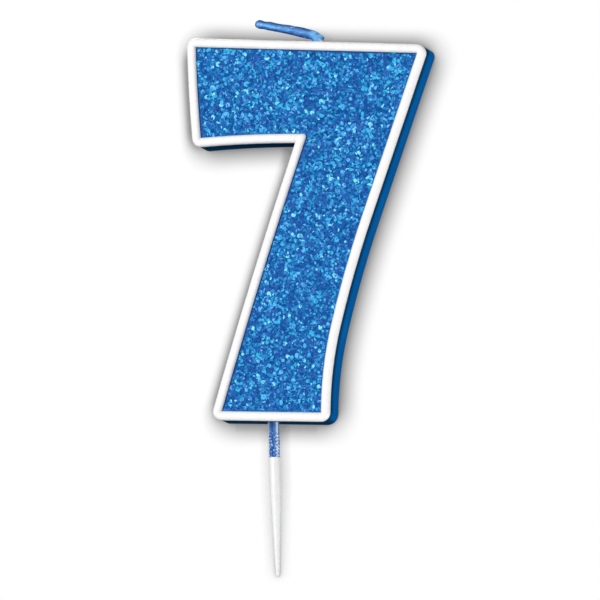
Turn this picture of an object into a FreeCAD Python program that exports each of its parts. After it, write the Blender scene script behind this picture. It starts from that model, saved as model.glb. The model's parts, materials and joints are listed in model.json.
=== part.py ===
import FreeCAD, Part
import math
import os
from FreeCAD import Vector

# Number birthday candle: a wax numeral seven with a white border and a glitter front, cast on a
# waxed wick whose lower end is pressed into a plastic cake pick.
# Millimetres. +Z is up, the decorated front faces -Y, +X is to the reader's right.
# The origin is the centre of the pick's top rim, where the wick enters the pick.

# ---- driving dimensions ----------------------------------------------------------------------

# depths, along Y
FRONT_Y = -6.0                  # crest of the border bead
BEAD_HEIGHT = 1.4               # the bead's height above the wax it lies on
BACK_Y = 6.0                    # flat back of the numeral
BED_DEPTH = 0.5                 # thickness of the gel that holds the glitter
WAX_FRONT_Y = FRONT_Y + BEAD_HEIGHT
BED_FRONT_Y = WAX_FRONT_Y - BED_DEPTH

# numeral outline at the bead's outer edge, in X and Z, corner by corner
BASE_Z = 7.46                   # level of the flat base
BASE_LEFT = Vector(-13.37, 0, BASE_Z)
BASE_RIGHT = Vector(12.94, 0, BASE_Z)
TOP_LEFT = Vector(-21.15, 0, 90.18)
TOP_RIGHT = Vector(32.20, 0, 89.32)
BAR_LOW_LEFT = Vector(-19.05, 0, 66.35)
NOTCH = Vector(3.35, 0, 67.67)  # inner corner under the bar

# a point part-way along each curved side
LEFT_SIDE_MID = Vector(-20.28, 0, 78.0)
BAR_UNDERSIDE_MID = Vector(-7.6, 0, 67.3)
STEM_LEFT_MID = Vector(-5.42, 0, 37.5)

# right flank: straight from the top corner, then two arcs, each tangent to what is above it
FLANK_STRAIGHT_END_Z = 52.0
FLANK_UPPER_RADIUS = 250.0
FLANK_ARCS_MEET_Z = 28.0
FLANK_LEAN = math.atan2(0.31018, 1.0)

BODY_INSET = 0.2                # the bead overhangs the side of the wax by this much
# outer corners, and the rounding of the bead and of the wax there
OUTER_CORNERS = (
    (TOP_LEFT, 2.0, 1.9),
    (TOP_RIGHT, 2.0, 1.5),
    (BASE_LEFT, 1.8, 1.6),
    (BASE_RIGHT, 2.0, 2.4),
    (BAR_LOW_LEFT, 1.8, 1.6),
)
BACK_EDGE_RADIUS = 0.5

# border bead
BEAD_WIDTH = 2.03
BEAD_EDGE_RADIUS = 0.75         # rounding of its two front edges
BEAD_INNER_CORNER_RADIUS = 0.65 # rounding round the notch

# glitter flakes: flat hexagons that lie on the gel
FLAKE_ACROSS = 0.9
FLAKE_THICKNESS = 0.06
FLAKE_PITCH = 3.3
FLAKE_EDGE_GAP = 0.9            # a flake's centre stays this far inside the bead
FLAKE_SMALLEST = 0.75           # least share of FLAKE_ACROSS
FLAKE_SIZE_RANGE = 0.5          # added to the least share, at most
FLAKE_COLOURS = ("cyan", "blue", "violet")

# pick
PICK_LEAN = math.radians(3.4)   # the pick's axis leans, its point towards +X
PICK_RADIUS = 1.19
PICK_SHANK_LENGTH = 6.0         # straight part below the rim
PICK_LENGTH = 25.7
PICK_TIP_RADIUS = 0.42
PICK_RIM_ROUNDING = 0.05
SOCKET_RADIUS = 0.56
SOCKET_DEPTH = 8.0

# wick
WICK_RADIUS = 0.5
WICK_IN_SOCKET = 7.5            # length of wick inside the pick
WICK_BEND_RADIUS = 55.0         # of the two gentle bends inside the wax
WICK_LOWER_RUN = 18.0           # from the rim to the first bend, along the pick's axis
WICK_UPPER_BEND = Vector(7.5, 0, 68.0)
WICK_EXIT_X = 6.65              # where the wick leaves the top
STUB_RADIUS_AT_PICK = 1.27      # waxed wick between the base and the pick, wider than the rim
STUB_RADIUS_AT_BASE = 1.31      # the wax thickens towards the numeral

# exposed tail, bent over to the left about an axis along Y
TAIL_RADIUS = 0.93
TAIL_LENGTH = 13.8              # from the bend to the tip
TAIL_RISE = math.radians(11.4)  # above level at rest
ROOT_HEIGHT = 0.68              # straight collar above the wax
BEND_GAP = 0.07                 # free space between the collar and the tail's round end
TIP_ROUNDING = 0.15

Y_AXIS = Vector(0, 1, 0)
SAME_PLACE = 1e-4               # lengths below this count as none
CUTTER_PAST = 1.0               # cutting shapes run this far past what they cut


# ---- outline of the numeral ------------------------------------------------------------------

def line(a, b):
    return Part.LineSegment(a, b).toShape()


def arc(a, mid, b):
    return Part.Arc(a, mid, b).toShape()


def arc_about(centre, radius, start_angle, end_angle):
    """An arc in the XZ plane. Angles are measured from +X towards +Z."""
    def at(angle):
        return centre + Vector(radius * math.cos(angle), 0, radius * math.sin(angle))
    return arc(at(start_angle), at((start_angle + end_angle) / 2), at(end_angle))


def right_flank():
    """Edges from the top right corner down to the base."""
    lean = FLANK_LEAN
    reach = TOP_RIGHT.z - FLANK_STRAIGHT_END_Z
    straight_end = Vector(TOP_RIGHT.x - reach * math.tan(lean), 0, FLANK_STRAIGHT_END_Z)
    across = Vector(math.cos(lean), 0, -math.sin(lean))
    upper_centre = straight_end + across * FLANK_UPPER_RADIUS
    meet_lean = math.asin((FLANK_ARCS_MEET_Z - upper_centre.z) / FLANK_UPPER_RADIUS)
    meet = upper_centre + Vector(-math.cos(meet_lean), 0, math.sin(meet_lean)) * FLANK_UPPER_RADIUS
    upper = arc_about(upper_centre, FLANK_UPPER_RADIUS, math.pi - lean, math.pi - meet_lean)
    # the lower arc leaves the meeting point along the same tangent and ends at the base corner
    tangent = Vector(-math.sin(meet_lean), 0, -math.cos(meet_lean))
    inward = Vector(math.cos(meet_lean), 0, -math.sin(meet_lean))
    chord = BASE_RIGHT - meet
    lower_radius = chord.dot(chord) / (2 * chord.dot(inward))
    half_turn = math.atan2(chord.dot(inward), chord.dot(tangent))
    bow = tangent * (lower_radius * math.sin(half_turn))
    lower_mid = meet + bow + inward * (lower_radius * (1 - math.cos(half_turn)))
    return [line(TOP_RIGHT, straight_end), upper, arc(meet, lower_mid, BASE_RIGHT)]


def numeral_outline():
    """Closed outline with sharp corners, at the bead's outer edge."""
    edges = right_flank()
    edges.append(line(BASE_RIGHT, BASE_LEFT))
    edges.append(arc(BASE_LEFT, STEM_LEFT_MID, NOTCH))
    edges.append(arc(NOTCH, BAR_UNDERSIDE_MID, BAR_LOW_LEFT))
    edges.append(arc(BAR_LOW_LEFT, LEFT_SIDE_MID, TOP_LEFT))
    edges.append(line(TOP_LEFT, TOP_RIGHT))
    return Part.Wire(Part.__sortEdges__(edges))


def inset_outline(distance):
    if distance == 0:
        return numeral_outline()
    sharp_corners = 2
    return numeral_outline().makeOffset2D(-distance, sharp_corners)


def slab(inset, y_front, y_back):
    """The numeral's outline, inset, as a plate between two depths."""
    face = Part.Face(inset_outline(inset))
    face.translate(Vector(0, y_front, 0))
    return face.extrude(Vector(0, y_back - y_front, 0))


def edges_along_y_near(shape, corner, reach):
    """Edges parallel to Y that pass within reach of an outline corner."""
    found = []
    for edge in shape.Edges:
        ends = [v.Point for v in edge.Vertexes]
        if len(ends) != 2:
            continue
        run = ends[1] - ends[0]
        if abs(run.x) > SAME_PLACE or abs(run.z) > SAME_PLACE:
            continue
        if math.hypot(ends[0].x - corner.x, ends[0].z - corner.z) < reach:
            found.append(edge)
    return found


def round_outer_corners(shape, inset, is_bead):
    reach = 3 * inset + 0.3
    for corner, bead_radius, wax_radius in OUTER_CORNERS:
        radius = bead_radius if is_bead else wax_radius
        shape = shape.makeFillet(radius, edges_along_y_near(shape, corner, reach))
    return shape


def edges_in_plane_y(shape, y):
    found = []
    for edge in shape.Edges:
        box = edge.BoundBox
        if abs(box.YMin - y) < SAME_PLACE and abs(box.YMax - y) < SAME_PLACE:
            found.append(edge)
    return found


# ---- wick route ------------------------------------------------------------------------------

UP_PICK = Vector(-math.sin(PICK_LEAN), 0, math.cos(PICK_LEAN))
BODY_TOP_Z_AT_WICK = (
    TOP_LEFT.z
    + (WICK_EXIT_X - TOP_LEFT.x) * (TOP_RIGHT.z - TOP_LEFT.z) / (TOP_RIGHT.x - TOP_LEFT.x)
    - BODY_INSET
)
WICK_TOP = Vector(WICK_EXIT_X, 0, BODY_TOP_Z_AT_WICK + ROOT_HEIGHT)
BEND_CENTRE = WICK_TOP + Vector(0, 0, BEND_GAP + TAIL_RADIUS)
TAIL_DIRECTION = Vector(-math.cos(TAIL_RISE), 0, math.sin(TAIL_RISE))


def rounded_path(points, radius):
    """Straight runs through the points, joined by tangent arcs."""
    edges = []
    start = points[0]
    for before, corner, after in zip(points, points[1:], points[2:]):
        back = (before - corner).normalize()
        ahead = (after - corner).normalize()
        half_angle = math.acos(back.dot(ahead)) / 2
        setback = radius / math.tan(half_angle)
        bisector = (back + ahead).normalize()
        centre = corner + bisector * (radius / math.sin(half_angle))
        arc_start = corner + back * setback
        arc_end = corner + ahead * setback
        arc_mid = centre - bisector * radius
        edges.append(line(start, arc_start))
        edges.append(arc(arc_start, arc_mid, arc_end))
        start = arc_end
    edges.append(line(start, points[-1]))
    return Part.Wire(edges)


def rod_along(points, radius, bend_radius):
    path = rounded_path(points, bend_radius)
    direction = points[1] - points[0]
    section = Part.Wire(Part.makeCircle(radius, points[0], direction))
    rod = path.makePipeShell([section], True, False)
    ideal = math.pi * radius ** 2 * path.Length
    print("wick volume / section x length: %.4f, bend radius %.0f" % (rod.Volume / ideal, bend_radius))
    return rod


def wick_core():
    points = [
        UP_PICK * -WICK_IN_SOCKET,
        UP_PICK * WICK_LOWER_RUN,
        WICK_UPPER_BEND,
        WICK_TOP,
    ]
    return rod_along(points, WICK_RADIUS, WICK_BEND_RADIUS)


# ---- the pieces ------------------------------------------------------------------------------

def wax_body(core):
    body = slab(BODY_INSET, WAX_FRONT_Y, BACK_Y)
    body = round_outer_corners(body, BODY_INSET, is_bead=False)
    body = body.makeFillet(BACK_EDGE_RADIUS, edges_in_plane_y(body, BACK_Y))
    return body.cut(core)


def border_bead():
    outer = round_outer_corners(slab(0, FRONT_Y, WAX_FRONT_Y), 0, is_bead=True)
    opening = slab(BEAD_WIDTH, FRONT_Y - CUTTER_PAST, WAX_FRONT_Y + CUTTER_PAST)
    opening = opening.makeFillet(
        BEAD_INNER_CORNER_RADIUS, edges_along_y_near(opening, NOTCH, 2 * BEAD_WIDTH)
    )
    bead = outer.cut(opening)
    return bead.makeFillet(BEAD_EDGE_RADIUS, edges_in_plane_y(bead, FRONT_Y))


def glitter_bed():
    bed = slab(BEAD_WIDTH, BED_FRONT_Y, WAX_FRONT_Y)
    return bed.makeFillet(
        BEAD_INNER_CORNER_RADIUS, edges_along_y_near(bed, NOTCH, 2 * BEAD_WIDTH)
    )


def flake(x, z, turn, scale):
    """A thin hexagon that lies on the gel."""
    radius = scale * FLAKE_ACROSS / math.sqrt(3)
    corners = []
    for side in range(6):
        angle = turn + side * math.pi / 3
        corners.append(Vector(x + radius * math.cos(angle), BED_FRONT_Y, z + radius * math.sin(angle)))
    face = Part.Face(Part.makePolygon(corners + corners[:1]))
    return face.extrude(Vector(0, -FLAKE_THICKNESS, 0))


def scatter(number):
    """A repeatable value from 0 to 1 for each number, spread by the golden ratio."""
    return (number * (math.sqrt(5) - 1) / 2) % 1.0


def glitter_flakes():
    """Flakes on a staggered grid with a repeatable offset, shared out among the colours."""
    groups = {colour: [] for colour in FLAKE_COLOURS}
    field = Part.Face(inset_outline(BEAD_WIDTH + FLAKE_EDGE_GAP))
    box = field.BoundBox
    row_pitch = FLAKE_PITCH * math.sqrt(3) / 2
    count = 0
    for row in range(int(box.ZLength / row_pitch) + 1):
        for column in range(int(box.XLength / FLAKE_PITCH) + 1):
            count += 1
            wander = FLAKE_PITCH / 2
            x = box.XMin + (column + 0.5 * (row % 2)) * FLAKE_PITCH + wander * (scatter(count) - 0.5)
            z = box.ZMin + row * row_pitch + wander * (scatter(count * 7 + 3) - 0.5)
            if not field.isInside(Vector(x, 0, z), SAME_PLACE, True):
                continue
            colour = FLAKE_COLOURS[(row + count) % len(FLAKE_COLOURS)]
            turn = 2 * math.pi * scatter(count * 3)
            scale = FLAKE_SMALLEST + FLAKE_SIZE_RANGE * scatter(count * 5)
            groups[colour].append(flake(x, z, turn, scale))
    return {colour: Part.Compound(solids) for colour, solids in groups.items()}


def wick_stub_wax(core):
    """Wax sleeve round the wick, from the pick's rim up to the flat base of the numeral."""
    base_z = BASE_Z + BODY_INSET
    length = base_z / UP_PICK.z + CUTTER_PAST
    sleeve = Part.makeCone(STUB_RADIUS_AT_PICK, STUB_RADIUS_AT_BASE, length, Vector(0, 0, 0), UP_PICK)
    corner = Vector(-length, -length, base_z)
    above_base = Part.makeBox(2 * length, 2 * length, length, corner)
    return sleeve.cut(above_base).cut(core)


def wick_root_wax(core):
    """Wax collar round the wick above the top of the numeral."""
    height = ROOT_HEIGHT + CUTTER_PAST
    collar = Part.makeCylinder(TAIL_RADIUS, height, WICK_TOP - Vector(0, 0, height))
    numeral = slab(BODY_INSET, WAX_FRONT_Y, BACK_Y)
    return collar.cut(numeral).cut(core)


def wick_tail_core():
    ball = Part.makeSphere(WICK_RADIUS, BEND_CENTRE)
    rod = Part.makeCylinder(WICK_RADIUS, TAIL_LENGTH, BEND_CENTRE, TAIL_DIRECTION)
    return ball.fuse(rod).removeSplitter()


def wick_tail_wax(tail_core):
    """Wax coat with a round end at the bend and the cotton showing at the tip."""
    rod = Part.makeCylinder(TAIL_RADIUS, TAIL_LENGTH, BEND_CENTRE, TAIL_DIRECTION)
    tip = BEND_CENTRE + TAIL_DIRECTION * TAIL_LENGTH
    tip_edges = []
    for edge in rod.Edges:
        if edge.isClosed() and (edge.BoundBox.Center - tip).Length < SAME_PLACE:
            tip_edges.append(edge)
    rod = rod.makeFillet(TIP_ROUNDING, tip_edges)
    ball = Part.makeSphere(TAIL_RADIUS, BEND_CENTRE)
    return ball.fuse(rod).removeSplitter().cut(tail_core)


def pick():
    """Turned profile about its own axis, tapered below the shank, with a blind socket from the rim."""
    taper_end = PICK_LENGTH - PICK_TIP_RADIUS
    profile = [
        Vector(0, 0, 0),
        Vector(PICK_RADIUS, 0, 0),
        Vector(PICK_RADIUS, 0, -PICK_SHANK_LENGTH),
        Vector(PICK_TIP_RADIUS, 0, -taper_end),
    ]
    tip_reach = PICK_TIP_RADIUS * math.sqrt(0.5)
    tip_mid = Vector(tip_reach, 0, -taper_end - tip_reach)
    tip = Vector(0, 0, -PICK_LENGTH)
    edges = [line(a, b) for a, b in zip(profile, profile[1:])]
    edges.append(arc(profile[-1], tip_mid, tip))
    edges.append(line(tip, profile[0]))
    spike = Part.Face(Part.Wire(edges)).revolve(Vector(0, 0, 0), Vector(0, 0, 1), 360)
    rim = []
    for edge in spike.Edges:
        box = edge.BoundBox
        if edge.isClosed() and abs(box.ZMin) < SAME_PLACE and abs(box.ZMax) < SAME_PLACE:
            rim.append(edge)
    spike = spike.makeFillet(PICK_RIM_ROUNDING, rim)
    socket = Part.makeCylinder(SOCKET_RADIUS, SOCKET_DEPTH, Vector(0, 0, -SOCKET_DEPTH))
    spike = spike.cut(socket)
    spike.rotate(Vector(0, 0, 0), Y_AXIS, -math.degrees(PICK_LEAN))
    return spike


def build():
    core = wick_core()
    body = wax_body(core)
    tail_core = wick_tail_core()
    shapes = {
        "wax_body": body,
        "border_bead": border_bead(),
        "glitter_bed": glitter_bed(),
        "wick_core": core,
        "wick_stub_wax": wick_stub_wax(core),
        "wick_root_wax": wick_root_wax(core),
        "wick_tail_core": tail_core,
        "wick_tail_wax": wick_tail_wax(tail_core),
        "pick": pick(),
    }
    for colour, group in glitter_flakes().items():
        shapes["glitter_flakes_" + colour] = group
    return shapes


os.makedirs("parts", exist_ok=True)
for name, shape in build().items():
    box = shape.BoundBox
    print("%-24s %-9s valid %s volume %10.3f  x %.2f..%.2f y %.2f..%.2f z %.2f..%.2f solids %d" % (
        name, shape.ShapeType, shape.isValid(), shape.Volume,
        box.XMin, box.XMax, box.YMin, box.YMax, box.ZMin, box.ZMax, len(shape.Solids)))
    shape.exportStep("parts/%s.step" % name)
print("bend centre %s, pick axis up %s" % (BEND_CENTRE, UP_PICK))
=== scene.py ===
import json
import math

import bmesh
import bpy
import numpy as np
from mathutils import Matrix, Vector, noise


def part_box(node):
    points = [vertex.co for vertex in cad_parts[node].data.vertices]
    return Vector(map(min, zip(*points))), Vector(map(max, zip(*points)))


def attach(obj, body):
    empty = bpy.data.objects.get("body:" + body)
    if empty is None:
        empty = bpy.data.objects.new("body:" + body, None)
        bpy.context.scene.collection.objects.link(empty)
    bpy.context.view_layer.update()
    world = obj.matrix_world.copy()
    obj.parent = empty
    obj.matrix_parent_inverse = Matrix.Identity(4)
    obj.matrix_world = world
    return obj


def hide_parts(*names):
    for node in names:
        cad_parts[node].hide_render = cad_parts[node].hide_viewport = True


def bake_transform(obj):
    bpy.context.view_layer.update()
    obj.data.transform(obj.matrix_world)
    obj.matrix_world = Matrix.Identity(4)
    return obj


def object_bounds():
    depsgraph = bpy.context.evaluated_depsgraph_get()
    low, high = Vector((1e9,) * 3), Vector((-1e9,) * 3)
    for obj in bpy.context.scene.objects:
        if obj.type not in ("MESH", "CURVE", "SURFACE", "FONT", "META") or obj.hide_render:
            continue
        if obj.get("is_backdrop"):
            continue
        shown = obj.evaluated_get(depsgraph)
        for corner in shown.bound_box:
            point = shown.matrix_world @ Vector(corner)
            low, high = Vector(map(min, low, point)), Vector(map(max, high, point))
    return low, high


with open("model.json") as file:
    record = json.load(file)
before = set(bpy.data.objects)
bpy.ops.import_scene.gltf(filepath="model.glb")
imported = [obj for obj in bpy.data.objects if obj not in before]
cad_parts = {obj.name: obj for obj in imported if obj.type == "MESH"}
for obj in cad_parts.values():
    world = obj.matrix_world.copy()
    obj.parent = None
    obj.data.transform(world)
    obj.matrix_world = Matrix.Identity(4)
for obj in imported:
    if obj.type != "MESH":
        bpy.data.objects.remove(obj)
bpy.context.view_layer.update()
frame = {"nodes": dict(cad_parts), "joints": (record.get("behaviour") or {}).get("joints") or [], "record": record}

# Number birthday candle. Metres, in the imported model's frame: +Z is up, the decorated front faces -Y,
# and the origin is the centre of the pick's top rim.

MM = 0.001

nodes = frame["nodes"]


def named(items, name):
    """The item of one of the frame's lists that has this name."""
    for item in items:
        if item["name"] == name:
            return item
    raise LookupError(name)


# ---- small helpers ---------------------------------------------------------------------------

class Nodes:
    """Shorthand for building a node tree. Place is the texture coordinate in the given space."""

    def __init__(self, tree, space="Object"):
        self.tree = tree
        self.place = self.node("ShaderNodeTexCoord").outputs[space]

    def node(self, kind, **settings):
        made = self.tree.nodes.new(kind)
        for key, value in settings.items():
            setattr(made, key, value)
        return made

    def link(self, output, target):
        self.tree.links.new(output, target)

    def feed(self, target, value):
        """Links an output to an input, or gives the input a number or a colour."""
        if isinstance(value, bpy.types.NodeSocket):
            self.link(value, target)
        elif isinstance(value, tuple):
            target.default_value = (*value, 1.0)
        else:
            target.default_value = value

    def noise(self, scale, detail=2.0, vector=None):
        """Noise, from 0 to 1. Scale is in features per metre."""
        made = self.node("ShaderNodeTexNoise")
        self.link(vector or self.place, made.inputs["Vector"])
        made.inputs["Scale"].default_value = scale
        made.inputs["Detail"].default_value = detail
        return made.outputs["Fac"]

    def cells(self, scale, output="Distance", vector=None):
        """Random cells. Scale is in cells per metre."""
        made = self.node("ShaderNodeTexVoronoi")
        self.link(vector or self.place, made.inputs["Vector"])
        made.inputs["Scale"].default_value = scale
        return made.outputs[output]

    def stretched(self, factors):
        """The place, scaled along each axis. A factor below 1 draws features out along it."""
        made = self.node("ShaderNodeMapping")
        made.inputs["Scale"].default_value = factors
        self.link(self.place, made.inputs["Vector"])
        return made.outputs["Vector"]

    def remap(self, value, low, high, to_low=0.0, to_high=1.0, smooth=True):
        """The value, taken from the range low..high to the range to_low..to_high, and clamped."""
        made = self.node("ShaderNodeMapRange", interpolation_type="SMOOTHSTEP" if smooth else "LINEAR")
        self.link(value, made.inputs["Value"])
        levels = {"From Min": low, "From Max": high, "To Min": to_low, "To Max": to_high}
        for name, level in levels.items():
            made.inputs[name].default_value = level
        return made.outputs["Result"]

    def math(self, operation, *values):
        made = self.node("ShaderNodeMath", operation=operation)
        for target, value in zip(made.inputs, values):
            self.feed(target, value)
        return made.outputs["Value"]

    def choose(self, factor, first, second):
        """The first number where the factor is 0, and the second where it is 1."""
        made = self.node("ShaderNodeMix", data_type="FLOAT")
        for name, value in (("Factor", factor), ("A", first), ("B", second)):
            self.feed(made.inputs[name], value)
        return made.outputs["Result"]

    def mix(self, factor, first, second):
        """Colour mix; first and second are colours or outputs."""
        made = self.node("ShaderNodeMix", data_type="RGBA")
        self.link(factor, made.inputs["Factor"])
        for name, value in (("A", first), ("B", second)):
            target = [i for i in made.inputs if i.name == name and i.type == "RGBA"][0]
            self.feed(target, value)
        return [o for o in made.outputs if o.type == "RGBA"][0]

    def ramp(self, factor, *stops):
        """A colour by factor. Each stop is a position and its colour."""
        made = self.node("ShaderNodeValToRGB")
        self.link(factor, made.inputs["Fac"])
        elements = made.color_ramp.elements
        while len(elements) < len(stops):
            elements.new(0.5)
        for element, (position, colour) in zip(elements, stops):
            element.position = position
            element.color = (*colour, 1.0)
        return made.outputs["Color"]

    def separate(self, vector=None):
        made = self.node("ShaderNodeSeparateXYZ")
        self.link(vector or self.place, made.inputs["Vector"])
        return made.outputs

    def facing(self):
        """The X, Y and Z of the surface's normal."""
        return self.separate(self.node("ShaderNodeNewGeometry").outputs["Normal"])

    def right_and_down(self):
        """Above 0 where the surface faces right or down, and below 0 where it faces left or up."""
        facing = self.facing()
        return self.math("SUBTRACT", facing["X"], self.math("MULTIPLY", facing["Z"], 0.8))


class Look(Nodes):
    """A node material built round one Principled shader."""

    def __init__(self, name, colour, roughness, **sockets):
        self.material = bpy.data.materials.new(name)
        self.material.use_nodes = True
        super().__init__(self.material.node_tree)
        self.shader = self.tree.nodes["Principled BSDF"]
        self.shader.inputs["Base Color"].default_value = (*colour, 1.0)
        self.shader.inputs["Roughness"].default_value = roughness
        for socket, value in sockets.items():
            self.shader.inputs[socket.replace("_", " ")].default_value = value

    def colour(self, output):
        self.link(output, self.shader.inputs["Base Color"])

    def roughness(self, output):
        self.link(output, self.shader.inputs["Roughness"])

    def bump(self, *layers):
        """Each layer is (height output, depth in metres)."""
        normal = None
        for height, depth in layers:
            made = self.node("ShaderNodeBump")
            made.inputs["Strength"].default_value = 1.0
            made.inputs["Distance"].default_value = depth
            self.link(height, made.inputs["Height"])
            if normal:
                self.link(normal, made.inputs["Normal"])
            normal = made.outputs["Normal"]
        self.link(normal, self.shader.inputs["Normal"])


def repaint(node_name, look):
    mesh_object = nodes[node_name]
    for held in mesh_object.material_slots:
        held.material = look.material


def add_piece(name, mesh, look, body):
    piece = bpy.data.objects.new(name, mesh)
    bpy.context.scene.collection.objects.link(piece)
    mesh.materials.clear()
    mesh.materials.append(look.material)
    if body:
        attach(piece, body)
    return piece


def smooth_above(mesh, angle):
    """Smooth shading, with edges sharper than the angle kept crisp."""
    mesh.shade_smooth()
    mesh.set_sharp_from_angle(angle=angle)


WELD_DISTANCE = 1e-7            # points closer than this are one point
SLIVER_LENGTH = 1e-8            # edges shorter than this are dropped
CRISP_ANGLE = math.radians(60)


def closed_mesh(name, verts, faces):
    """A smooth mesh, with coincident points welded and its faces turned outward."""
    mesh = bpy.data.meshes.new(name)
    mesh.from_pydata(verts, [], faces)
    work = bmesh.new()
    work.from_mesh(mesh)
    bmesh.ops.remove_doubles(work, verts=work.verts, dist=WELD_DISTANCE)
    bmesh.ops.dissolve_degenerate(work, edges=work.edges, dist=SLIVER_LENGTH)
    bmesh.ops.recalc_face_normals(work, faces=work.faces)
    work.to_mesh(mesh)
    work.free()
    mesh.update()
    smooth_above(mesh, CRISP_ANGLE)
    return mesh


# ---- looks -----------------------------------------------------------------------------------

def wax_look():
    """Blue wax. Painted shade darkens it behind the bead, most where it faces right or down, on its underside and
    towards its back.
    """
    look = Look("blue_wax_look", (0.003, 0.12, 0.40), 0.42, Subsurface_Weight=0.06,
                Subsurface_Scale=0.0012, Specular_IOR_Level=0.008)
    depth = look.separate()["Y"]
    front, back = (corner[1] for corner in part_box("wax_body"))
    cloud = look.noise(95.0, 3.0)
    wax = look.ramp(cloud, (0.30, (0.0002, 0.088, 0.305)), (0.72, (0.0006, 0.114, 0.375)))
    fleck = look.remap(look.noise(900.0, 2.0), 0.62, 0.74)
    wax = look.mix(look.math("MULTIPLY", fleck, 0.30), wax, (0.003, 0.16, 0.44))
    # painted shade: the wax turns darker towards its back
    shade = look.remap(depth, back - 4.0 * MM, back - 0.2 * MM, 1.0, 0.0)
    wax = look.mix(shade, (0.0010, 0.082, 0.270), wax)
    # painted shade of the bead: a dark band on the wax behind it, deepest where the wax faces right or down
    painted_bead_shade = look.remap(depth, front + 1.0 * MM, front + 5.6 * MM, 1.0, 0.0)
    painted_bead_shade = look.math("MULTIPLY", painted_bead_shade, look.remap(look.right_and_down(), -0.3, 0.3, 0.40, 1.0))
    # painted shade on the wax's underside
    painted_underside_shade = look.remap(look.facing()["Z"], -0.90, -0.50, 1.0, 0.0)
    wax = look.mix(painted_bead_shade, wax, (0.0002, 0.024, 0.062))
    look.colour(look.mix(painted_underside_shade, wax, (0.0002, 0.030, 0.080)))
    look.roughness(look.remap(look.noise(400.0, 3.0), 0.3, 0.7, 0.30, 0.46))
    look.bump((look.noise(160.0, 2.0), 0.00012), (look.noise(1500.0, 3.0), 0.00002))
    return look


def bead_look():
    look = Look("white_bead_look", (0.88, 0.87, 0.87), 0.30, Subsurface_Weight=0.6,
                Subsurface_Scale=0.0009, Subsurface_Radius=(1.0, 0.9, 0.88), Coat_Weight=0.2,
                Coat_Roughness=0.12)
    cloud = look.noise(260.0, 3.0)
    look.colour(look.ramp(cloud, (0.3, (0.86, 0.845, 0.845)), (0.7, (0.90, 0.895, 0.89))))
    look.roughness(look.remap(look.noise(700.0, 2.0), 0.3, 0.7, 0.24, 0.36))
    look.bump((look.noise(240.0, 2.0), 0.00006), (look.noise(1800.0, 2.0), 0.000008))
    return look


GEL_GRAINS = 2100.0             # grains of the gel in a metre


def gel_look():
    look = Look("blue_gel_look", (0.02, 0.13, 0.40), 0.40, Specular_IOR_Level=0.03)
    grain = look.separate(look.cells(GEL_GRAINS, "Color"))["X"]
    gel = look.ramp(grain, (0.0, (0.004, 0.060, 0.25)), (0.45, (0.010, 0.110, 0.38)),
                    (0.8, (0.024, 0.20, 0.55)), (1.0, (0.04, 0.32, 0.72)))
    patch = look.remap(look.noise(330.0, 2.0), 0.38, 0.62)
    look.colour(look.mix(look.math("MULTIPLY", patch, 0.45), gel, (0.018, 0.085, 0.38)))
    look.roughness(look.remap(grain, 0.0, 1.0, 0.22, 0.42))
    look.bump((look.cells(GEL_GRAINS), 0.00006))
    return look


def margin_look():
    """Gel against the bead. Where it faces right and down it is darker, as the bead's painted shadow."""
    look = Look("gel_margin_look", (0.002, 0.06, 0.22), 0.35, Specular_IOR_Level=0.05)
    tone = look.noise(1300.0, 2.0)
    pale = look.ramp(tone, (0.35, (0.008, 0.10, 0.36)), (0.75, (0.030, 0.24, 0.60)))
    # painted shadow of the bead on the gel
    painted_shadow = look.ramp(tone, (0.35, (0.0006, 0.030, 0.12)), (0.75, (0.004, 0.065, 0.23)))
    look.colour(look.mix(look.remap(look.right_and_down(), 0.0, 0.25), pale, painted_shadow))
    look.bump((tone, 0.00003))
    return look


def pick_look():
    look = Look("white_plastic_look", (0.82, 0.825, 0.83), 0.34, Subsurface_Weight=0.10,
                Subsurface_Scale=0.0004)
    cloud = look.noise(420.0, 3.0)
    look.colour(look.ramp(cloud, (0.3, (0.79, 0.795, 0.80)), (0.7, (0.84, 0.845, 0.85))))
    look.roughness(look.remap(look.noise(900.0, 2.0), 0.3, 0.7, 0.28, 0.42))
    along = look.stretched((1.0, 1.0, 0.12))
    look.bump((look.noise(1400.0, 2.0, vector=along), 0.00001))
    return look


def cotton_look():
    look = Look("cotton_look", (0.55, 0.60, 0.72), 0.85, Sheen_Weight=0.3)
    strands = look.noise(2600.0, 2.0, vector=look.stretched((1.0, 1.0, 0.3)))
    look.colour(look.ramp(strands, (0.3, (0.30, 0.40, 0.62)), (0.7, (0.66, 0.72, 0.82))))
    look.bump((strands, 0.00008))
    return look


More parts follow.
